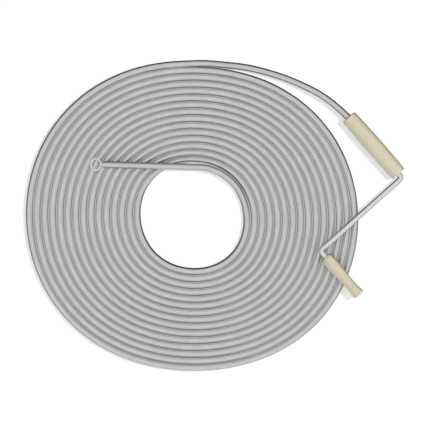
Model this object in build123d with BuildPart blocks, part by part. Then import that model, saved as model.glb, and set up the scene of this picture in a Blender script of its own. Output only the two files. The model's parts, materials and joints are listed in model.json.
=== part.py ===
"""Hand drain auger: a flat coil of closed-wound spring cable with a wire eye at the
working end and a cranked steel handle with two turning wooden grips at the other.

Millimetres, +Z up. The origin is at the centre of the coil's hole, on the surface that
the coil lies on. +X and +Y lie in that surface, and the handle is on the +X side.
"""
from build123d import *
import math
import os

# ---------------------------------------------------------------- cable
cable_diameter = 10.0         # closed-wound spring
turn_gap = 0.88               # mean gap between neighbouring turns of the coil
coil_radius = 238.95          # mean centre-line radius where the outermost turn starts
inner_end_turn = 14.8         # turns, counted inwards from the top of the outermost one
coil_fade_turns = 15.0        # the oval shape has died out after this many turns
coil_oval = 9.65              # outermost turn: wider in X and narrower in Y by this
coil_skew = 1.3               # tilt of that oval
coil_squareness = 1.9         # flattening of the outermost turn's corners
squareness_fade = 0.085       # the flattening lessens by this much each turn
points_per_turn = 36
coil_edge_round = 3.6         # rounding of the coil's outer and inner edges

# ---------------------------------------------------------------- eye at the working end
eye_wire_diameter = 2.2
eye_half_length = 7.3         # along the cable, to the middle of the wire
eye_half_width = 8.4          # across the cable
tail_lift = 0.4               # free height between the coil's top and the cable over it

# ---------------------------------------------------------------- handle
handle_inset_x = 10.55        # from coil_radius in to where the cable enters the forward grip
handle_inset_y = 91.05
handle_angle = -48.8          # direction of the forward grip's axis in the XY plane
forward_grip_length = 112.1
forward_mouth_radius = 11.5
forward_belly_radius = 12.7
forward_belly_place = 53.0
forward_crank_end_radius = 11.7
forward_mouth_round = 2.0
forward_crank_end_round = 0.7
forward_front_wall = 8.0      # wood left in front of the sleeve

rod_diameter = 8.0
rod_bend_radius = 4.6         # to the centre line, at both corners
arm_length = 161.8
arm_offset = 1.5              # the rear leg starts this much further along than square
forward_grip_to_arm = 7.4     # from the grip's end to the arm's centre line
rear_neck_length = 12.2       # from the arm's centre line to the rear grip
rod_end_chamfer = 0.6

rear_grip_length = 75.6
rear_mouth_radius = 6.6
rear_head_radius = 9.45
rear_head_place = 11.0
rear_waist_radius = 7.5
rear_waist_place = 54.0
rear_tail_radius = 8.85
rear_tail_round = 1.5
rear_dome_radius = 21.0       # sphere of the outer end face
floor_clearance = 0.1         # under the forward grip
coil_clearance = 0.3          # between the coil's top and the rear grip

# ---------------------------------------------------------------- coupling and bearings
running_clearance = 0.05      # radial, between pieces that turn on each other
end_clearance = 0.1           # along the axis, between pieces that turn past each other
loose_clearance = 0.25        # radial, where a piece only passes through
cable_entry_clearance = 0.8   # radial, around the cable in the grip's mouth
sleeve_wall = 2.2
cable_grip_length = 20.4      # cable held inside the sleeve
sleeve_edge_chamfer = 0.4
washer_thickness = 1.5
screw_diameter = 4.0
screw_spacing = 10.0          # between the two screws of a pair
screw_edge_distance = 5.0     # from the sleeve's end, and from the rod's end
screw_recess = 0.3            # below the sleeve's surface
screw_socket_width = 2.0
screw_socket_depth = 1.2
forward_bush_length = 14.0
bush_recess = 0.5             # the crank-end bush lies this far inside the grip

collar_thickness = 3.0
collar_wall = 1.2
collar_recess = 0.6
rear_bush_length = 6.0
end_washer_wall = 1.4
end_washer_thickness = 1.2
push_nut_height = 3.4
push_nut_wall = 1.2
push_nut_crown = 1.0          # metal over the rod's end
rear_pocket_depth = 13.0      # counterbore in the rear grip's outer end
pocket_clearance = 0.2
plug_length = 7.0

# ---------------------------------------------------------------- worked out
handle_mouth_x = coil_radius - handle_inset_x
handle_mouth_y = coil_radius - handle_inset_y
cable_radius = cable_diameter / 2
turn_pitch = cable_diameter + turn_gap
rod_radius = rod_diameter / 2
sleeve_bore = cable_radius + running_clearance
sleeve_radius = sleeve_bore + sleeve_wall
sleeve_start = forward_front_wall + washer_thickness + 2 * end_clearance
bush_start = forward_grip_length - bush_recess - forward_bush_length
rear_washer_start = bush_start - end_clearance - washer_thickness
sleeve_end = rear_washer_start - end_clearance
cable_end = sleeve_start + cable_grip_length
grip_bore = sleeve_radius + running_clearance
forward_axis_height = forward_belly_radius + floor_clearance
rear_axis_height = cable_diameter + coil_clearance + rear_head_radius
crank_tilt = math.degrees(math.asin((rear_axis_height - forward_axis_height) / arm_length))
tail_height = cable_diameter + tail_lift + cable_radius


def turn_point(turn, outwards=0.0):
    """Point in the XY plane on the cable's centre line, or that far outside it."""
    angle = math.pi / 2 + 2 * math.pi * turn
    oval = coil_oval * (1 - turn / coil_fade_turns) * math.cos(2 * angle)
    skew = coil_skew * math.sin(2 * angle)
    corners = (coil_squareness - squareness_fade * turn) * math.cos(4 * angle)
    radius = coil_radius - turn_pitch * turn + oval - skew - corners + outwards
    return (radius * math.cos(angle), radius * math.sin(angle))


def one_turn(first_turn, outwards):
    """Points along one full turn of the spiral, that far outside the centre line."""
    steps = range(points_per_turn + 1)
    return [turn_point(first_turn + step / points_per_turn, outwards) for step in steps]


def cord_radii(points):
    """The largest arc that the two runs at each corner leave room for."""
    radii = []
    for before, corner, after in zip(points, points[1:], points[2:]):
        arriving = Vector(*corner) - Vector(*before)
        leaving = Vector(*after) - Vector(*corner)
        half_turn = math.radians(arriving.get_angle(leaving)) / 2
        shorter = min(arriving.length, leaving.length)
        radii.append(0.45 * shorter / math.tan(half_turn))
    return radii


def report_cord(name, path, solid, points):
    """Print the arcs of a cord, and its volume against section times length."""
    section = math.pi * cable_radius ** 2
    print(name, "radii", [round(radius) for radius in cord_radii(points)])
    print(name, "length", round(path.length, 1), "volume ratio",
          round(solid.volume / (section * path.length), 4))


# The crank lies in one plane: local X runs along both legs, from the cable outwards, and
# the arm runs along local -Y. The plane is tilted so that the rear grip lies on the coil.
mouth = Vector(handle_mouth_x, handle_mouth_y, forward_axis_height)
leg_direction = Vector(1, 0, 0).rotate(Axis.Z, handle_angle)
crank_normal = Vector(0, 0, 1).rotate(Axis((0, 0, 0), leg_direction), -crank_tilt)
crank_plane = Plane(origin=mouth, x_dir=leg_direction, z_dir=crank_normal)
corner_1_x = forward_grip_length + forward_grip_to_arm
corner_2_x = corner_1_x + arm_offset
rear_start = crank_plane.from_local_coords((corner_2_x + rear_neck_length, -arm_length, 0))
rear_plane = Plane(origin=rear_start, x_dir=crank_plane.x_dir, z_dir=crank_plane.z_dir)
forward_axis = Axis(crank_plane.origin, crank_plane.x_dir)
rear_axis = Axis(rear_plane.origin, rear_plane.x_dir)

# ================================================================ cable
# Cable coil: the outer shape of the turns. Its outer and inner boundaries are spirals,
# each closed by the face of one cable end.
coil_start = turn_point(0, cable_radius)
coil_start_inner = turn_point(1, cable_radius)
coil_end = turn_point(inner_end_turn, -cable_radius)
coil_end_outer = turn_point(inner_end_turn - 1, -cable_radius)

with BuildPart() as cable_coil:
    with BuildSketch(Plane.XY):
        with BuildLine():
            Spline(*one_turn(0, cable_radius))
            Line(coil_start_inner, coil_start)
        make_face()
        with BuildLine():
            Spline(*one_turn(inner_end_turn - 1, -cable_radius))
            Line(coil_end, coil_end_outer)
        make_face(mode=Mode.SUBTRACT)
    extrude(amount=cable_diameter)
    level_edges = cable_coil.edges().filter_by(GeomType.BSPLINE)
    fillet(level_edges, radius=coil_edge_round)
cable_coil.part.label = "cable_coil"

# Cable lead: from the outer end of the coil to the sleeve inside the forward grip.
lead_start = turn_point(0)
last_bend = tuple(crank_plane.from_local_coords((-28.0, 0, 0)))
lead_end = tuple(crank_plane.from_local_coords((cable_end, 0, 0)))
lead_points = [
    (lead_start[0], lead_start[1], cable_radius),
    (32.0, lead_start[1], cable_radius),
    (85.0, coil_radius - 17.95, cable_radius + 1.6),
    (146.0, coil_radius - 36.45, cable_radius + 4.8),
    last_bend,
    lead_end,
]
with BuildPart() as cable_lead:
    with BuildLine() as lead_path:
        FilletPolyline(*lead_points, radius=cord_radii(lead_points))
    with BuildSketch(lead_path.line ^ 0):
        Circle(cable_radius)
    sweep()
cable_lead.part.label = "cable_lead"
report_cord("cable_lead", lead_path.wires()[0], cable_lead.part, lead_points)

# Cable tail: from the inner end of the coil, up and over the turns to the eye.
tail_start = turn_point(inner_end_turn)
tail_start_angle = 2 * math.pi * inner_end_turn + math.pi / 2
first_run = 5.0
tail_points = [
    (tail_start[0], tail_start[1], cable_radius),
    (tail_start[0] - first_run * math.sin(tail_start_angle),
     tail_start[1] + first_run * math.cos(tail_start_angle), cable_radius),
    (68.6, 35.8, cable_radius + 0.3),
    (61.9, 46.6, cable_radius + 1.3),
    (49.3, 58.8, cable_radius + 3.1),
    (33.3, 68.3, cable_radius + 5.3),
    (15.6, 73.6, cable_radius + 7.5),
    (-8.0, 74.0, tail_height - 0.7),
    (-40.0, 75.0, tail_height),
    (-88.0, 76.2, tail_height),
    (-135.4, 77.6, tail_height + 0.1),
]
with BuildPart() as cable_tail:
    with BuildLine() as tail_path:
        FilletPolyline(*tail_points, radius=cord_radii(tail_points))
    with BuildSketch(tail_path.line ^ 0):
        Circle(cable_radius)
    sweep()
cable_tail.part.label = "cable_tail"
report_cord("cable_tail", tail_path.wires()[0], cable_tail.part, tail_points)

# Tip eye: an oval eye of wire on a short shank, welded to the end of the spring.
tail_tip = Plane(tail_path.line ^ 1)
eye_plane = Plane(origin=tail_tip.origin, x_dir=tail_tip.z_dir, z_dir=(0, 0, 1))
shank_length = 2.0
eye_centre = eye_plane.from_local_coords((shank_length + eye_half_length, 0, 0))
eye_ring_plane = Plane(origin=eye_centre, x_dir=eye_plane.x_dir, z_dir=eye_plane.z_dir)
with BuildPart() as tip_ring:
    with BuildLine(eye_ring_plane) as eye_path:
        EllipticalCenterArc((0, 0), eye_half_length, eye_half_width, start_angle=0, arc_size=360)
    with BuildSketch(eye_path.line ^ 0):
        Circle(eye_wire_diameter / 2)
    sweep()
    with BuildSketch(tail_tip):
        Circle(eye_wire_diameter / 2)
    extrude(amount=shank_length + eye_wire_diameter / 4)
tip_ring.part.label = "tip_ring"

# ================================================================ crank
# Crank rod: one round bar bent twice, from the cable's end to the rear grip's end nut.
rod_end_x = rear_grip_length - rear_pocket_depth + end_clearance + end_washer_thickness
rod_end_x += end_clearance + push_nut_height - push_nut_crown
with BuildPart() as crank_rod:
    with BuildLine(crank_plane) as rod_path:
        FilletPolyline(
            (cable_end + end_clearance, 0),
            (corner_1_x, 0),
            (corner_2_x, -arm_length),
            (corner_2_x + rear_neck_length + rod_end_x, -arm_length),
            radius=rod_bend_radius,
        )
    with BuildSketch(rod_path.line ^ 0):
        Circle(rod_radius)
    sweep()
    rod_ends = crank_rod.edges().filter_by(GeomType.CIRCLE).sort_by(forward_axis)
    chamfer([rod_ends[0], rod_ends[-1]], length=rod_end_chamfer)
crank_rod.part.label = "crank_rod"

# Coupling sleeve: a stepped tube that takes the cable's end in front and the rod behind.
# Each pair of set screws stands in a row through its wall.
front_screws = [sleeve_start + screw_edge_distance + screw_spacing * step for step in range(2)]
rear_screws = [cable_end + screw_edge_distance + screw_spacing * step for step in range(2)]
with BuildPart() as coupling_sleeve:
    with BuildSketch(crank_plane):
        with BuildLine():
            Polyline(
                (sleeve_start, sleeve_bore),
                (sleeve_start, sleeve_radius),
                (sleeve_end, sleeve_radius),
                (sleeve_end, rod_radius),
                (cable_end, rod_radius),
                (cable_end, sleeve_bore),
                close=True,
            )
        make_face()
    revolve(axis=forward_axis)
    outer_edges = coupling_sleeve.edges().filter_by(GeomType.CIRCLE).group_by(SortBy.RADIUS)[-1]
    chamfer(outer_edges, length=sleeve_edge_chamfer)
    for place in front_screws + rear_screws:
        with BuildSketch(crank_plane):
            with Locations((place, 0)):
                Circle(screw_diameter / 2)
        extrude(amount=sleeve_radius, mode=Mode.SUBTRACT)
coupling_sleeve.part.label = "coupling_sleeve"

# Coupling screws: socket set screws that bear on the cable and on the rod.
screw_top = sleeve_radius - screw_recess
with BuildPart() as coupling_screws:
    for places, seat in ((front_screws, sleeve_bore), (rear_screws, rod_radius + running_clearance)):
        for place in places:
            with BuildSketch(crank_plane.offset(seat)):
                with Locations((place, 0)):
                    Circle(screw_diameter / 2)
            extrude(amount=screw_top - seat)
            with BuildSketch(crank_plane.offset(screw_top)):
                with Locations((place, 0)):
                    RegularPolygon(screw_socket_width / 2, 6, major_radius=False)
            extrude(amount=-screw_socket_depth, mode=Mode.SUBTRACT)
coupling_screws.part.label = "coupling_screws"


def ring(plane, axis, start, thickness, inner, outer):
    """A plain flat ring around the axis, as a washer, collar or bush."""
    with BuildPart() as made:
        with BuildSketch(plane):
            with BuildLine():
                Polyline(
                    (start, inner), (start, outer),
                    (start + thickness, outer), (start + thickness, inner),
                    close=True,
                )
            make_face()
        revolve(axis=axis)
    return made


# Thrust washers: one each side of the sleeve, where the forward grip bears endways.
washer_radius = sleeve_radius - running_clearance
front_washer_start = forward_front_wall + end_clearance
front_washer_bore = cable_radius + loose_clearance
front_thrust_washer = ring(crank_plane, forward_axis, front_washer_start, washer_thickness,
                           front_washer_bore, washer_radius)
front_thrust_washer.part.label = "front_thrust_washer"

rear_washer_bore = rod_radius + loose_clearance
rear_thrust_washer = ring(crank_plane, forward_axis, rear_washer_start, washer_thickness,
                          rear_washer_bore, washer_radius)
rear_thrust_washer.part.label = "rear_thrust_washer"

# ================================================================ forward grip
# Forward grip: a turned wooden barrel, slimmer at the cable's end, bored to run on the
# sleeve. The wood left at its mouth keeps it from sliding off over the sleeve.
mouth_hole = cable_radius + cable_entry_clearance
with BuildPart() as forward_grip:
    with BuildSketch(crank_plane):
        with BuildLine():
            Line((0, mouth_hole), (0, forward_mouth_radius))
            ThreePointArc(
                (0, forward_mouth_radius),
                (forward_belly_place, forward_belly_radius),
                (forward_grip_length, forward_crank_end_radius),
            )
            Polyline(
                (forward_grip_length, forward_crank_end_radius),
                (forward_grip_length, grip_bore),
                (forward_front_wall, grip_bore),
                (forward_front_wall, mouth_hole),
                (0, mouth_hole),
            )
        make_face()
    revolve(axis=forward_axis)
    grip_edges = forward_grip.edges().filter_by(GeomType.CIRCLE).sort_by(forward_axis)
    mouth_edge = grip_edges.group_by(forward_axis)[0].sort_by(SortBy.RADIUS)[-1]
    fillet(mouth_edge, radius=forward_mouth_round)
    grip_edges = forward_grip.edges().filter_by(GeomType.CIRCLE).sort_by(forward_axis)
    crank_edge = grip_edges.group_by(forward_axis)[-1].sort_by(SortBy.RADIUS)[-1]
    fillet(crank_edge, radius=forward_crank_end_round)
forward_grip.part.label = "forward_grip"

# Forward grip bush: pressed into the crank end of the bore, and turns on the rod.
forward_grip_bush = ring(crank_plane, forward_axis, bush_start, forward_bush_length,
                         rod_radius + running_clearance, grip_bore)
forward_grip_bush.part.label = "forward_grip_bush"

# ================================================================ rear grip
collar_radius = rod_radius + collar_wall
rear_recess = collar_radius + pocket_clearance
rear_recess_depth = collar_recess + collar_thickness + end_clearance + rear_bush_length
end_washer_radius = rod_radius + end_washer_wall
pocket_radius = end_washer_radius + pocket_clearance
pocket_start = rear_grip_length - rear_pocket_depth


def dome_place(radius):
    """Where the domed end face of the rear grip lies at this distance from the axis."""
    return rear_grip_length - rear_dome_radius + math.sqrt(rear_dome_radius ** 2 - radius ** 2)


# Rear grip: a turned wooden handle with a rounded head, a waist and a flared, domed end.
# A recess at the head takes the collar and bush, a deep one at the end the washer and nut.
with BuildPart() as rear_grip:
    with BuildSketch(rear_plane):
        with BuildLine():
            Polyline(
                (0, rear_mouth_radius),
                (0, rear_recess),
                (rear_recess_depth, rear_recess),
                (rear_recess_depth, rod_radius + loose_clearance),
                (pocket_start, rod_radius + loose_clearance),
                (pocket_start, pocket_radius),
                (dome_place(pocket_radius), pocket_radius),
            )
            RadiusArc(
                (dome_place(pocket_radius), pocket_radius),
                (dome_place(rear_tail_radius), rear_tail_radius),
                -rear_dome_radius,
            )
            Spline(
                (dome_place(rear_tail_radius), rear_tail_radius),
                (rear_waist_place, rear_waist_radius),
                tangents=((-1, -0.1), (-1, 0)),
            )
            Spline(
                (rear_waist_place, rear_waist_radius),
                (rear_head_place, rear_head_radius),
                tangents=((-1, 0), (-1, 0)),
            )
            EllipticalCenterArc(
                (rear_head_place, rear_mouth_radius),
                rear_head_place,
                rear_head_radius - rear_mouth_radius,
                start_angle=90,
                arc_size=90,
            )
        make_face()
    revolve(axis=rear_axis)
    tail_edge = rear_grip.edges().filter_by(GeomType.CIRCLE).sort_by(rear_axis)
    tail_edge = tail_edge.filter_by(lambda edge: abs(edge.radius - rear_tail_radius) < 0.01)[-1]
    fillet(tail_edge, radius=rear_tail_round)
rear_grip.part.label = "rear_grip"

# Stop collar: pressed on the rod inside the grip's head, and keeps the grip off the arm.
stop_collar = ring(rear_plane, rear_axis, collar_recess, collar_thickness,
                   rod_radius, collar_radius)
stop_collar.part.label = "stop_collar"

# Rear grip bush: pressed into the head behind the collar, and turns on the rod.
rear_bush_start = collar_recess + collar_thickness + end_clearance
rear_grip_bush = ring(rear_plane, rear_axis, rear_bush_start, rear_bush_length,
                      rod_radius + running_clearance, rear_recess)
rear_grip_bush.part.label = "rear_grip_bush"

# End washer and push nut: hold the grip on the rod, inside the deep recess.
end_washer_start = pocket_start + end_clearance
end_washer = ring(rear_plane, rear_axis, end_washer_start, end_washer_thickness,
                  rod_radius + loose_clearance, end_washer_radius)
end_washer.part.label = "end_washer"

push_nut_start = end_washer_start + end_washer_thickness + end_clearance
push_nut_end = push_nut_start + push_nut_height
push_nut_radius = rod_radius + push_nut_wall
with BuildPart() as push_nut:
    with BuildSketch(rear_plane):
        with BuildLine():
            Polyline(
                (rod_end_x, 0),
                (rod_end_x, rod_radius),
                (push_nut_start, rod_radius),
                (push_nut_start, push_nut_radius),
                (rod_end_x, push_nut_radius),
            )
            Spline(
                (rod_end_x, push_nut_radius),
                (push_nut_end, 0),
                tangents=((1, 0), (0, -1)),
            )
            Line((push_nut_end, 0), (rod_end_x, 0))
        make_face()
    revolve(axis=rear_axis)
push_nut.part.label = "push_nut"

# End plug: a wooden plug that closes the deep recess, its face part of the same dome.
plug_start = rear_grip_length - plug_length
with BuildPart() as end_plug:
    with BuildSketch(rear_plane):
        with BuildLine():
            Polyline(
                (rear_grip_length, 0),
                (plug_start, 0),
                (plug_start, pocket_radius),
                (dome_place(pocket_radius), pocket_radius),
            )
            RadiusArc(
                (dome_place(pocket_radius), pocket_radius),
                (rear_grip_length, 0),
                rear_dome_radius,
            )
        make_face()
    revolve(axis=rear_axis)
end_plug.part.label = "end_plug"

# ================================================================ files
os.makedirs("parts", exist_ok=True)
sub_parts = [
    cable_coil, cable_lead, cable_tail, tip_ring,
    crank_rod, coupling_sleeve, coupling_screws, front_thrust_washer, rear_thrust_washer,
    forward_grip, forward_grip_bush,
    rear_grip, stop_collar, rear_grip_bush, end_washer, push_nut, end_plug,
]
for sub_part in sub_parts:
    export_step(sub_part.part, f"parts/{sub_part.part.label}.step")
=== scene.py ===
# %% [markdown]
# # A hand drain auger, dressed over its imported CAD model
#
# The tool is a long spring cable, coiled flat, with a wire eye at its working end and a
# cranked steel handle with two turned wooden grips. The CAD model holds the handle as it
# is made. The cable is a free cord, so its turns are modelled here, wire by wire.
#
# Every object is in metres and in the frame of the CAD model: +Z is up, and the origin is
# the middle of the coil's hole, on the floor. Sizes are written in millimetres where a
# maker would read them so, and turned into metres with MM.

# %% Load the fixed frame
import json
import math

import bpy
import numpy as np
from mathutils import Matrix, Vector


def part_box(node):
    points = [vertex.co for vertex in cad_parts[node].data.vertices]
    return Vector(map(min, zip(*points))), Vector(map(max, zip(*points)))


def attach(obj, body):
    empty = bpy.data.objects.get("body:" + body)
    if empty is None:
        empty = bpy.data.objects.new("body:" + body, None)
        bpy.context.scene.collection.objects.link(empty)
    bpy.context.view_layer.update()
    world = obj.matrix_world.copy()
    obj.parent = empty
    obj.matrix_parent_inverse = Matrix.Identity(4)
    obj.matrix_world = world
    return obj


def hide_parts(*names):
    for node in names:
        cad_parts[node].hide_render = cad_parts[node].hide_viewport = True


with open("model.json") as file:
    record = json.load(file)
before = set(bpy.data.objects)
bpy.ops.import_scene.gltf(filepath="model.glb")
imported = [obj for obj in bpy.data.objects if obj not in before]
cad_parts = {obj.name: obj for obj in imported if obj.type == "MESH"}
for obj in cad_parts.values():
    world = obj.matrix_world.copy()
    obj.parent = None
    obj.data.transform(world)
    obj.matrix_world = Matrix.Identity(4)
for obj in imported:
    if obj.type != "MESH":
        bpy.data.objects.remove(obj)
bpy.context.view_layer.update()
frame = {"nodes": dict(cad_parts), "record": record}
joints = {joint["name"]: joint for joint in frame["record"]["behaviour"]["joints"]}
print("CAD nodes:", len(frame["nodes"]))

MM = 0.001


# %% [markdown]
# ## Small helpers
#
# Colours are written as sRGB hex values, as a paint chart gives them, and Blender works in
# linear light, so one function turns them. Another adds a shader node with its settings
# and links, and the rest are the few nodes that every material here uses. They keep each
# material short enough to read.

# %% Helpers for colours and shader nodes
def linear(hex_colour):
    """An sRGB hex colour as linear red, green, blue and alpha."""
    channels = [int(hex_colour[i:i + 2], 16) / 255 for i in (1, 3, 5)]
    light = [c / 12.92 if c <= 0.04045 else ((c + 0.055) / 1.055) ** 2.4 for c in channels]
    return light + [1.0]


def add(tree, kind, settings=None, **inputs):
    """Adds a shader node. An input is a value, or the output socket that feeds it.
    It goes by name, with _ for a space, or by number, as _0 for the first."""
    node = tree.nodes.new(kind)
    for name, value in (settings or {}).items():
        setattr(node, name, value)
    for name, value in inputs.items():
        key = int(name[1:]) if name[0] == "_" else name.replace("_", " ")
        socket = node.inputs[key]
        if isinstance(value, bpy.types.NodeSocket):
            tree.links.new(value, socket)
        else:
            socket.default_value = value
    return node


def new_material(name):
    """A material with an empty node tree, and that tree."""
    material = bpy.data.materials.new(name)
    material.use_nodes = True
    material.node_tree.nodes.clear()
    return material, material.node_tree


def ramp(tree, factor, *stops):
    """A colour ramp from pairs of place and hex colour or grey level."""
    node = add(tree, "ShaderNodeValToRGB", Fac=factor)
    elements = node.color_ramp.elements
    while len(elements) < len(stops):
        elements.new(0.5)
    for element, (place, colour) in zip(elements, stops):
        element.position = place
        element.color = linear(colour) if isinstance(colour, str) else [colour] * 3 + [1.0]
    return node.outputs["Color"]


def mix(tree, factor, below, above, blend="MIX"):
    """One colour laid over another: above is a hex colour or a socket, below a socket."""
    top = linear(above) if isinstance(above, str) else above
    node = add(tree, "ShaderNodeMix", {"data_type": "RGBA", "blend_type": blend},
               Factor=factor, A=below, B=top)
    return node.outputs["Result"]


def times(tree, first, second):
    """The product of two values."""
    node = add(tree, "ShaderNodeMath", {"operation": "MULTIPLY"}, _0=first, _1=second)
    return node.outputs["Value"]


def smooth_rise(tree, value, start, full, strength):
    """A mask that rises smoothly from 0, where the value is at start, to the strength,
    where it is at full."""
    node = add(tree, "ShaderNodeMapRange", {"interpolation_type": "SMOOTHSTEP"},
               Value=value, _1=start, _2=full, _3=0.0, _4=strength)
    return node.outputs["Result"]


# %% [markdown]
# ## Camera
#
# The tool is seen from straight above. A long lens far away keeps the turns of the coil
# nearly parallel to the view, as in a catalogue, so the grips, which stand higher than
# the cable, hardly shift against it.

# %% Camera
VIEW_WIDTH = 0.6364
VIEW_CENTRE = (0.0311, 0.0030)
LENS = 200.0
SENSOR = 36.0
CABLE_DIAMETER = 10.0 * MM

camera_height = VIEW_WIDTH * LENS / SENSOR + CABLE_DIAMETER / 2
camera_data = bpy.data.cameras.new("camera")
camera_data.lens = LENS
camera_data.sensor_width = SENSOR
camera = bpy.data.objects.new("camera", camera_data)
bpy.context.scene.collection.objects.link(camera)
camera.location = (VIEW_CENTRE[0], VIEW_CENTRE[1], camera_height)
bpy.context.scene.camera = camera
print("camera height in metres:", round(camera_height, 3))

# %% [markdown]
# ## The cable's route
#
# The cable is one cord of 10 mm spring, a little over 15 m long. Its route starts in the
# sleeve inside the forward grip, bends onto the coil, winds inwards for fifteen turns and
# leaves the innermost turn upwards, to lie over the others. The free stretches are given
# point by point. The turns come from the coil's own formula: a spiral whose outer turns are
# pressed into an oval with slightly flat corners, which dies out towards the hole.
#
# The route becomes a smooth NURBS spline. It cuts inside its control points, so those of
# the turns stand a little further out than the cable does.

# %% Points of the route, in millimetres
COIL_RADIUS = 238.95
TURN_GAP = 0.88
INNER_END_TURN = 14.8
OVAL = 9.65
OVAL_FADE_TURNS = 15
SKEW = 1.3
SQUARENESS = 1.9
SQUARENESS_FADE = 0.085
POINTS_PER_TURN = 24
CABLE_RADIUS = CABLE_DIAMETER / MM / 2
TURN_PITCH = CABLE_DIAMETER / MM + TURN_GAP
TAIL_HEIGHT = CABLE_DIAMETER / MM + 0.4 + CABLE_RADIUS

turning = joints["crank_turn"]
mouth = Vector(turning["pos_m"]) / MM
handle_direction = -Vector(turning["axis"]).normalized()


def turn_point(turn):
    """Where the cable lies, that many turns inwards from the top of the outermost turn."""
    angle = math.pi / 2 + 2 * math.pi * turn
    oval = OVAL * (1 - turn / OVAL_FADE_TURNS) * math.cos(2 * angle)
    skew = SKEW * math.sin(2 * angle)
    corners = (SQUARENESS - SQUARENESS_FADE * turn) * math.cos(4 * angle)
    radius = COIL_RADIUS - TURN_PITCH * turn + oval - skew - corners
    # The spline passes this much inside the corners of a regular polygon.
    radius *= 4 / (3 + math.cos(2 * math.pi / POINTS_PER_TURN))
    return (radius * math.cos(angle), radius * math.sin(angle), CABLE_RADIUS)


lead_points = [
    tuple(mouth + handle_direction * 30.1),
    tuple(mouth - handle_direction * 28.0),
    (146.0, 202.5, CABLE_RADIUS + 4.8),
    (85.0, 221.0, CABLE_RADIUS + 1.6),
    (40.0, 225.8, CABLE_RADIUS),
    (8.0, 228.2, CABLE_RADIUS),
]
coil_points = [turn_point(step / POINTS_PER_TURN)
               for step in range(1, int(INNER_END_TURN * POINTS_PER_TURN) + 1)]
tail_points = [
    (68.6, 35.8, CABLE_RADIUS + 0.3),
    (61.9, 46.6, CABLE_RADIUS + 1.3),
    (49.3, 58.8, CABLE_RADIUS + 3.1),
    (33.3, 68.3, CABLE_RADIUS + 5.3),
    (15.6, 73.6, CABLE_RADIUS + 7.5),
    (-8.0, 74.0, TAIL_HEIGHT - 0.7),
    (-40.0, 75.0, TAIL_HEIGHT),
    (-88.0, 76.2, TAIL_HEIGHT),
    (-135.4, 77.6, TAIL_HEIGHT + 0.1),
]
route_points = [Vector(point) * MM for point in lead_points + coil_points + tail_points]
print("points of the route:", len(route_points))


# %% [markdown]
# ### The spline, and the line read back from it
#
# A curve without thickness gives its centre line as mesh points. They are kept with their
# distance from the start, so that any place along the cable can be looked up.

# %% The route as a spline, and as a line
def route_curve(name, bevel):
    """A curve object along the route, with the given radius."""
    data = bpy.data.curves.new(name, "CURVE")
    data.dimensions = "3D"
    spline = data.splines.new("NURBS")
    spline.points.add(len(route_points) - 1)
    for point, place in zip(spline.points, route_points):
        point.co = (*place, 1.0)
    spline.order_u = 3
    spline.use_endpoint_u = True
    spline.resolution_u = 8
    data.resolution_u = 8
    data.bevel_depth = bevel
    data.bevel_resolution = 2
    data.use_fill_caps = True
    made = bpy.data.objects.new(name, data)
    bpy.context.scene.collection.objects.link(made)
    return made


bare_route = route_curve("bare_route", 0.0)
line_mesh = bpy.data.meshes.new_from_object(bare_route)
route_line = np.zeros(len(line_mesh.vertices) * 3)
line_mesh.vertices.foreach_get("co", route_line)
route_line = route_line.reshape(-1, 3)
bpy.data.objects.remove(bare_route)
bpy.data.meshes.remove(line_mesh)

# Points that coincide with the one before them are left out.
steps = np.linalg.norm(np.diff(route_line, axis=0), axis=1)
route_line = route_line[np.concatenate([[True], steps > 1e-7])]
steps = np.linalg.norm(np.diff(route_line, axis=0), axis=1)
distance = np.concatenate([[0.0], np.cumsum(steps)])
route_length = float(distance[-1])
print("length of the cable in metres:", round(route_length, 3))

# %% [markdown]
# ## The spring
#
# A drain cable is a spring of wire wound with its turns touching. A plain tube would look
# like a hose, so the wire is modelled: the surface is a tube whose radius swells and
# shrinks once per wire, and whose rows climb along a helix, so that each ridge is one
# wire. It is cut into one piece per turn of the coil, which keeps every mesh light enough
# to handle. A slim core runs through all of them and carries the cable's real length.
#
# Three values are stored on the mesh for its material. "crevice" marks the grooves between
# the wires, and "flank" the sides of the cable. "free" tells where those sides touch no
# other turn, and holds how much painted shade such a free side gets: the most where it
# faces +Y, less towards -Y, and half as much underneath. A side that touches a neighbour
# gets a painted highlight instead.

# %% Sizes of the wire, and how much painted shade each side of the cable gets
WIRE_PITCH = 2.0 * MM
AROUND = 12
ROW_DEPTHS = (0.0, 0.05 * MM, 0.2 * MM, 0.05 * MM)
ROW_SHADES = (0.0, 0.25, 1.0, 0.25)
ROWS = len(ROW_DEPTHS)
STRETCHES = 16
CORE_SHARE = 0.42

# How much painted shade a free side gets, by the way it faces in Y, and underneath.
FACING = (-1.0, -0.7, 0.0, 0.7)
FACING_SHADES = (0.3, 0.45, 0.75, 1.0)
UNDERSIDE_SHADE = 0.5

# 1 where nothing touches the cable: outside the outermost turn and inside the innermost.
# The tail, past turn 14.84, lies free on both sides, and its outer side gets only 0.4 of
# the painted shade.
polar = np.unwrap(np.arctan2(route_line[:, 1], route_line[:, 0]))
turn_there = (polar - math.pi / 2) / (2 * math.pi)
free_outside = np.interp(turn_there, (0.93, 1.03, 14.74, 14.84), (1.0, 0.0, 0.0, 0.4))
free_inside = np.interp(turn_there, (-0.05, 0.0, 13.74, 13.84), (1.0, 0.0, 0.0, 1.0))


# %% [markdown]
# ### The surface of one stretch
#
# Each row of the surface goes once round the cable and climbs by one wire, so it ends
# where the row of the next wire starts. The faces along that seam join the two.

# %% Points, directions and surfaces along the cable
def on_route(places):
    """Points on the cable's centre line, at these distances from its start."""
    return np.stack([np.interp(places, distance, route_line[:, k]) for k in range(3)], -1)


def along(places):
    """Points on the cable's centre line, and two directions across it."""
    tangent = on_route(places + 1 * MM) - on_route(places - 1 * MM)
    tangent /= np.linalg.norm(tangent, axis=-1, keepdims=True)
    side = np.cross(tangent, (0.0, 0.0, 1.0))
    side /= np.linalg.norm(side, axis=-1, keepdims=True)
    return on_route(places), side, np.cross(side, tangent)


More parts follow.
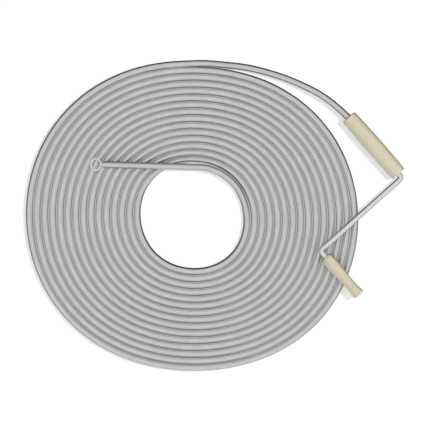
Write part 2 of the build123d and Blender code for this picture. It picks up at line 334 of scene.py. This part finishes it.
def winding(name, first_row, last_row):
    """One stretch of the spring, between two rows of its surface."""
    rows = np.arange(first_row, last_row + ROWS + 1)
    turn_share = np.arange(AROUND) / AROUND
    places = (rows[:, None] / ROWS + turn_share[None, :]) * WIRE_PITCH
    points, side, up = along(places)
    radius = CABLE_DIAMETER / 2 - np.array(ROW_DEPTHS)[rows % ROWS][:, None, None]
    across = np.cos(turn_share * 2 * math.pi)
    height = np.sin(turn_share * 2 * math.pi)
    surface = points + radius * (across[:, None] * side + height[:, None] * up)

    outside = across > 0
    low = height < -0.01
    free = np.where(outside, np.interp(places, distance, free_outside),
                    np.interp(places, distance, free_inside))
    facing = np.interp(np.where(outside, 1, -1) * side[:, :, 1], FACING, FACING_SHADES)
    # Only a side that touches a neighbour reaches 1, where the painted contact shadow starts.
    flank = np.where(low, 1.0, np.abs(across)) * (1 - 0.1 * free)
    # The painted shade of a free side, by the way it faces, and halved underneath.
    free_side_shade = free * facing * np.where(low, UNDERSIDE_SHADE, 1.0)

    faces = []
    for row in range(last_row - first_row):
        start = row * AROUND
        for k in range(AROUND - 1):
            faces.append((start + k, start + AROUND + k, start + AROUND + k + 1, start + k + 1))
        after = start + ROWS * AROUND
        faces.append((start + AROUND - 1, start + 2 * AROUND - 1, after + AROUND, after))
    mesh = bpy.data.meshes.new(name)
    mesh.from_pydata(surface.reshape(-1, 3).tolist(), [], faces)
    values = {
        "crevice": np.repeat(np.array(ROW_SHADES)[rows % ROWS], AROUND),
        "flank": flank.ravel(),
        "free": free_side_shade.ravel(),
    }
    for kind, value in values.items():
        mesh.attributes.new(kind, "FLOAT", "POINT").data.foreach_set("value", value)
    mesh.update()
    mesh.shade_smooth()
    made = bpy.data.objects.new(name, mesh)
    bpy.context.scene.collection.objects.link(made)
    return made


# %% [markdown]
# ### Core, windings and the cord as a whole
#
# The core is a plain tube inside the spring. With the windings it hangs on the cable's body
# and stands in for the three plain cable solids of the CAD model, which are hidden.

# %% Core and windings
tube = route_curve("core_tube", CABLE_DIAMETER * CORE_SHARE)
core = bpy.data.objects.new("cable_core", bpy.data.meshes.new_from_object(tube))
core.data.name = "cable_core"
for kind in ("crevice", "flank", "free"):
    core.data.attributes.new(kind, "FLOAT", "POINT")
bpy.context.scene.collection.objects.link(core)
bpy.data.objects.remove(tube)

row_count = int((route_length - WIRE_PITCH) / WIRE_PITCH) * ROWS
cuts = [round(row_count * i / STRETCHES / ROWS) * ROWS + 2 for i in range(STRETCHES)]
cuts.append(row_count - 2)
windings = [winding(f"spring_turn_{i + 1:02d}", cuts[i], cuts[i + 1]) for i in range(STRETCHES)]
print("faces of the spring:", sum(len(w.data.polygons) for w in windings))

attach(core, "cable")
for piece in windings:
    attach(piece, "cable")
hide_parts("cable_coil", "cable_lead", "cable_tail")

# %% [markdown]
# ## Spring steel
#
# The wire is hard-drawn steel with a thin zinc coat: a metal with a satin gloss. Soft
# clouds of slightly lighter and darker grey run over it, as on any length of drawn wire.
# The sides that touch a neighbour get a painted highlight, down to a thin painted shadow
# along the line of contact. The grooves get a little painted shade, and the free sides a
# dark painted shade, which also takes their edge sheen.

# %% Material: zinc-coated spring wire
def metal_clouds(tree, place, size_mm, low, high):
    """Soft variation between two levels, in patches of about the given size."""
    noise = add(tree, "ShaderNodeTexNoise", Vector=place, Scale=1 / (size_mm * MM),
                Detail=3.0, Roughness=0.55)
    spread = add(tree, "ShaderNodeMapRange", Value=noise.outputs["Fac"],
                 _1=0.3, _2=0.7, _3=low, _4=high)
    return spread.outputs["Result"]


def sheen_outside_painted_shade(tree, painted_shade):
    """The metal's sheen at its edges, which is gone where the painted shade is half thick, so
    those edges show darker too.
    """
    return ramp(tree, painted_shade, (0.0, 1.0), (0.5, 0.0))


def spring_wire():
    material, tree = new_material("zinc_coated_spring_wire")
    place = add(tree, "ShaderNodeTexCoord").outputs["Object"]
    crevice, flank, free = [
        add(tree, "ShaderNodeAttribute", {"attribute_name": kind}).outputs["Fac"]
        for kind in ("crevice", "flank", "free")
    ]
    held = add(tree, "ShaderNodeMath", {"operation": "SUBTRACT"}, _0=1.0, _1=free)

    # A painted highlight on the sides that touch a neighbour.
    touching_side_highlight = times(tree, smooth_rise(tree, flank, 0.5, 0.9, 1.0), held.outputs["Value"])
    # A painted shadow along the line where the turns touch.
    contact_shadow = smooth_rise(tree, flank, 0.91, 0.97, 1.0)
    # A little painted shade in the grooves between the wires.
    groove_shade = smooth_rise(tree, crevice, 0.0, 1.0, 0.12)
    # A dark painted shade on the free sides, which also takes their edge sheen.
    free_side_painted_shade = times(tree, smooth_rise(tree, flank, 0.4, 0.65, 0.95), free)
    tone = ramp(tree, metal_clouds(tree, place, 14.0, 0.0, 1.0),
                (0.0, "#D5D5D5"), (1.0, "#DFDFDF"))
    for mask, colour in ((touching_side_highlight, "#F4F4F4"), (contact_shadow, "#2A2A2A"),
                         (groove_shade, "#404040"), (free_side_painted_shade, "#2E2E2E")):
        tone = mix(tree, mask, tone, colour)

    shader = add(tree, "ShaderNodeBsdfPrincipled", Base_Color=tone, Metallic=1.0,
                 Roughness=metal_clouds(tree, place, 5.0, 0.33, 0.41),
                 Specular_Tint=sheen_outside_painted_shade(tree, free_side_painted_shade))
    add(tree, "ShaderNodeOutputMaterial", Surface=shader.outputs["BSDF"])
    return material


spring_steel = spring_wire()
for piece in [core, *windings]:
    piece.data.materials.append(spring_steel)

# %% [markdown]
# ## Plated steel
#
# The crank is bright zinc-plated bar, smoother and lighter than the spring, with faint
# clouds in the plating and a fine grit under it. Its steep sides get a painted shade, which
# also takes their edge sheen: the most on the side that faces +Y, at full strength near the
# forward grip and at 0.4 of it elsewhere.
#
# The wire eye is the same plating, in lighter tones, and gets none of the painted shade.

# %% Material: bright zinc-plated bar
# The painted shade on the bar's steep sides: its colour, its share along Y, and along X.
PAINTED_PLATE_SHADE = "#2E2E2E"
PLATE_SHADE_UPS = ((0.0, 0.6), (0.5, 0.7), (0.9, 1.0))
PLATE_SHADE_STEEP = (0.85, 0.6)
PLATE_SHADE_STARTS_X = 0.215
PLATE_SHADE_FULL_X = 0.25


def painted_side_shading(tree, colour, dark, strength, ups, steep):
    """Mixes a painted shade or painted light into the colour of a round part, by the way its
    faces point, and gives the colour and the mask. It is strongest on steep sides: steep gives
    how level a face is where it starts and where it is full. It follows Y too: ups gives its
    share from -Y to +Y."""
    normal = add(tree, "ShaderNodeSeparateXYZ",
                 _0=add(tree, "ShaderNodeTexCoord").outputs["Normal"])
    level = add(tree, "ShaderNodeMath", {"operation": "ABSOLUTE"}, _0=normal.outputs["Z"])
    side = smooth_rise(tree, level.outputs["Value"], steep[0], steep[1], strength)
    facing = add(tree, "ShaderNodeMapRange", Value=normal.outputs["Y"], _1=-1.0, _2=1.0)
    painted_shade = times(tree, side, ramp(tree, facing.outputs["Result"], *ups))
    return mix(tree, painted_shade, colour, dark), painted_shade


def zinc_plate(name, low, high, painted_shade):
    material, tree = new_material(name)
    place = add(tree, "ShaderNodeTexCoord").outputs["Object"]
    tone = ramp(tree, metal_clouds(tree, place, 9.0, 0.0, 1.0), (0.0, low), (1.0, high))
    grit = add(tree, "ShaderNodeTexNoise", Vector=place, Scale=1 / (0.6 * MM), Detail=2.0)
    bump = add(tree, "ShaderNodeBump", Strength=0.06, Distance=0.1 * MM,
               Height=grit.outputs["Fac"])
    along_x = add(tree, "ShaderNodeSeparateXYZ", _0=place).outputs["X"]
    amount = add(tree, "ShaderNodeMapRange", Value=along_x, _1=PLATE_SHADE_STARTS_X,
                 _2=PLATE_SHADE_FULL_X, _3=0.4 * painted_shade, _4=painted_shade).outputs["Result"]
    # A painted shade on the steep sides of the bar.
    shaded_tone, mask = painted_side_shading(tree, tone, PAINTED_PLATE_SHADE, amount, PLATE_SHADE_UPS, PLATE_SHADE_STEEP)
    shader = add(tree, "ShaderNodeBsdfPrincipled", Base_Color=shaded_tone, Metallic=1.0,
                 Roughness=metal_clouds(tree, place, 3.0, 0.26, 0.36),
                 Normal=bump.outputs["Normal"], Specular_Tint=sheen_outside_painted_shade(tree, mask))
    add(tree, "ShaderNodeOutputMaterial", Surface=shader.outputs["BSDF"])
    return material


plated_steel = zinc_plate("bright_zinc_plated_steel", "#E4E5E6", "#EEEFF0", 0.95)
eye_wire = zinc_plate("bright_eye_wire", "#F2F3F4", "#FAFAFB", 0.0)

# %% [markdown]
# ## Turned beech
#
# Both grips are turned from pale beech and left nearly bare. Beech has straight grain
# along the grip, with short darker flecks a few millimetres long, and on the end faces
# the growth rings show. The pattern is a solid one, so the grain meets the end grain at
# the edges as in real wood. A Mapping node turns it so that its X runs along the grip.
#
# The sides towards -Y get a painted light, and the sides towards +Y a brown painted shade,
# both the most on steep sides.

# %% Material: turned beech
RING_SPACING = 4.97 * MM
WAVE_PERIOD = math.pi / 10
FIBRE_WIDTH = 0.9 * MM
FLECK_WIDTH = 1.3 * MM
# Where along Y the painted light and the painted shade of the grips fall.
LIT_SIDE_UPS = ((0.15, 1.0), (0.55, 0.0))
SHADED_SIDE_UPS = ((0.45, 0.0), (0.85, 1.0))


def turned_beech(name, centre, shift):
    material, tree = new_material(name)
    place = add(tree, "ShaderNodeTexCoord").outputs["Object"]
    heading = math.atan2(handle_direction.y, handle_direction.x)
    turned = add(tree, "ShaderNodeMapping", {"vector_type": "TEXTURE"}, Vector=place,
                 Location=centre, Rotation=(0.0, 0.0, heading))
    moved = add(tree, "ShaderNodeMapping", Vector=turned.outputs["Vector"],
                Location=(shift * MM, 21.0 * MM, 9.0 * MM))

    def stretched(share):
        """The pattern's place, squeezed along the grain so that the marks grow long."""
        return add(tree, "ShaderNodeMapping", Vector=moved.outputs["Vector"],
                   Scale=(share, 1.0, 1.0)).outputs["Vector"]

    # Growth rings round a pith outside the grip, slightly wavy.
    ring_place = stretched(0.06)
    waver = add(tree, "ShaderNodeTexNoise", Vector=ring_place, Scale=1 / (14 * MM), Detail=2.0)
    rings = add(tree, "ShaderNodeTexWave",
                {"wave_type": "RINGS", "rings_direction": "X", "wave_profile": "SAW"},
                Vector=ring_place, Scale=WAVE_PERIOD / RING_SPACING, Distortion=1.2, Detail=1.0)
    ring_tone = add(tree, "ShaderNodeMath", {"operation": "MULTIPLY_ADD"},
                    _0=rings.outputs["Fac"], _1=0.55, _2=waver.outputs["Fac"])
    base = ramp(tree, ring_tone.outputs["Value"],
                (0.25, "#C0BAA7"), (0.6, "#BBB5A1"), (1.0, "#B5AF9A"))

    # Fibre lines along the grain.
    fibre = add(tree, "ShaderNodeTexNoise", Vector=stretched(0.03), Scale=1 / FIBRE_WIDTH,
                Detail=3.0, Roughness=0.6)
    fibre_tone = ramp(tree, fibre.outputs["Fac"], (0.35, 0.82), (0.65, 1.0))
    grained = mix(tree, 0.2, base, fibre_tone, "MULTIPLY")
    bump = add(tree, "ShaderNodeBump", Strength=0.25, Distance=0.2 * MM,
               Height=fibre.outputs["Fac"])

    # Flecks: soft spindle marks, one in each cell, nearly three times as long as wide.
    fleck = add(tree, "ShaderNodeTexVoronoi", Vector=stretched(0.35), Scale=1 / FLECK_WIDTH,
                Randomness=1.0)
    fleck_mark = add(tree, "ShaderNodeMapRange", Value=fleck.outputs["Distance"],
                     _1=0.15, _2=0.4, _3=1.0, _4=0.0)
    flecked = mix(tree, times(tree, fleck_mark.outputs["Result"], 0.6), grained, "#A48D62")

    # A painted light on the steep sides towards -Y, and a painted shade on those towards +Y.
    painted_lit_side, _ = painted_side_shading(tree, flecked, "#F0EAD8", 0.5, LIT_SIDE_UPS, (1.0, 0.3))
    painted_shaded_side, _ = painted_side_shading(tree, painted_lit_side, "#6E5F36", 0.9, SHADED_SIDE_UPS, (0.95, 0.35))
    shader = add(tree, "ShaderNodeBsdfPrincipled", Base_Color=painted_shaded_side, Metallic=0.0,
                 Roughness=0.8, Normal=bump.outputs["Normal"])
    add(tree, "ShaderNodeOutputMaterial", Surface=shader.outputs["BSDF"])
    return material


def centre_of(node):
    """The middle of a CAD node's box."""
    low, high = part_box(node)
    return tuple((a + b) / 2 for a, b in zip(low, high))


forward_beech = turned_beech("turned_beech_forward", centre_of("forward_grip"), 0.0)
rear_beech = turned_beech("turned_beech_rear", centre_of("rear_grip"), 37.0)

# %% [markdown]
# ## Nylon
#
# The two bushes inside the grips are natural nylon: cream, with a soft gloss.

# %% Material: natural nylon
def natural_nylon():
    material, tree = new_material("natural_nylon")
    place = add(tree, "ShaderNodeTexCoord").outputs["Object"]
    tone = ramp(tree, metal_clouds(tree, place, 4.0, 0.0, 1.0),
                (0.0, "#D8D2BF"), (1.0, "#E3DECE"))
    shader = add(tree, "ShaderNodeBsdfPrincipled", Base_Color=tone, Metallic=0.0,
                 Roughness=0.45)
    add(tree, "ShaderNodeOutputMaterial", Surface=shader.outputs["BSDF"])
    return material


nylon = natural_nylon()

# %% [markdown]
# ## Finishes
#
# The CAD nodes keep their shape and place. Each only gets its material, in its own slots.

# %% Finishes of the CAD nodes
finishes = {
    eye_wire: ["tip_ring"],
    plated_steel: ["crank_rod", "coupling_sleeve", "coupling_screws",
                   "front_thrust_washer", "rear_thrust_washer", "stop_collar", "end_washer",
                   "push_nut"],
    forward_beech: ["forward_grip"],
    rear_beech: ["rear_grip", "end_plug"],
    nylon: ["forward_grip_bush", "rear_grip_bush"],
}
for material, names in finishes.items():
    for name in names:
        piece = bpy.data.objects[name]
        for slot in piece.material_slots:
            slot.material = material
        print(name, "slots", len(piece.material_slots))

# %% [markdown]
# ## Floor
#
# The floor is white paper. It glows a little, but only for the rays by which it is seen,
# straight, in the metal or through something clear. So it shows pure white, keeps the
# soft shadow of the tool and throws no extra light on it.

# %% Floor
def paper_floor():
    material, tree = new_material("white_paper")
    paper = add(tree, "ShaderNodeBsdfDiffuse", Color=linear("#BABABA")).outputs["BSDF"]
    glow = add(tree, "ShaderNodeEmission", Color=linear("#FFFFFF"), Strength=0.45)
    rays = add(tree, "ShaderNodeLightPath")
    seen = rays.outputs["Is Camera Ray"]
    for ray in ("Is Glossy Ray", "Is Transmission Ray"):
        seen = add(tree, "ShaderNodeMath", {"operation": "MAXIMUM"},
                   _0=seen, _1=rays.outputs[ray]).outputs["Value"]
    both = add(tree, "ShaderNodeAddShader", _0=paper, _1=glow.outputs["Emission"])
    mixed = add(tree, "ShaderNodeMixShader", _0=seen, _1=paper, _2=both.outputs["Shader"])
    add(tree, "ShaderNodeOutputMaterial", Surface=mixed.outputs["Shader"])
    return material


bpy.ops.object.select_all(action="DESELECT")
bpy.context.view_layer.objects.active = None
bpy.ops.mesh.primitive_plane_add(size=16.0, location=(0.0, 0.0, -0.0004))
floor = bpy.context.object
floor.name = "floor"
floor.data.materials.append(paper_floor())


# %% [markdown]
# ## Light
#
# A small lamp stands high on the right and gives each thing its soft shadow on the left.
# A wide, weak one stands low on the near side, to the left, and fills the shadows. Neither
# shows in the metal. What the metal shows is the sky, which is brightest overhead, a
# little towards the near side, and darker down to the horizon, so that round wires look
# round.

# %% Lamps and sky
def area_lamp(name, azimuth, elevation, away, size, watts):
    """A square lamp that looks at the middle of the tool and doesn't show in the metal."""
    data = bpy.data.lights.new(name, "AREA")
    data.size = size
    data.energy = watts
    lamp = bpy.data.objects.new(name, data)
    bpy.context.scene.collection.objects.link(lamp)
    flat = math.cos(math.radians(elevation)) * away
    lamp.location = (
        flat * math.cos(math.radians(azimuth)),
        flat * math.sin(math.radians(azimuth)),
        math.sin(math.radians(elevation)) * away,
    )
    lamp.rotation_euler = (-lamp.location).to_track_quat("-Z", "Y").to_euler()
    lamp.visible_glossy = False


area_lamp("key", 16, 58, 3.0, 0.4, 60)
area_lamp("fill", 235, 28, 3.0, 2.0, 9)

BRIGHTEST_SKY = (0.0, -0.42, 0.907)
world = bpy.data.worlds.new("sky")
bpy.context.scene.world = world
world.use_nodes = True
sky_tree = world.node_tree
sky_tree.nodes.clear()
direction = add(sky_tree, "ShaderNodeTexCoord").outputs["Generated"]
towards = add(sky_tree, "ShaderNodeVectorMath", {"operation": "DOT_PRODUCT"},
              _0=direction, _1=BRIGHTEST_SKY)
brightness = ramp(sky_tree, towards.outputs["Value"],
                  (0.0, 0.3), (0.1, 0.42), (0.35, 0.78), (0.8, 0.86))
sky = add(sky_tree, "ShaderNodeBackground", Color=brightness, Strength=1.0)
add(sky_tree, "ShaderNodeOutputWorld", Surface=sky.outputs["Background"])
bpy.context.scene.view_settings.view_transform = "Standard"
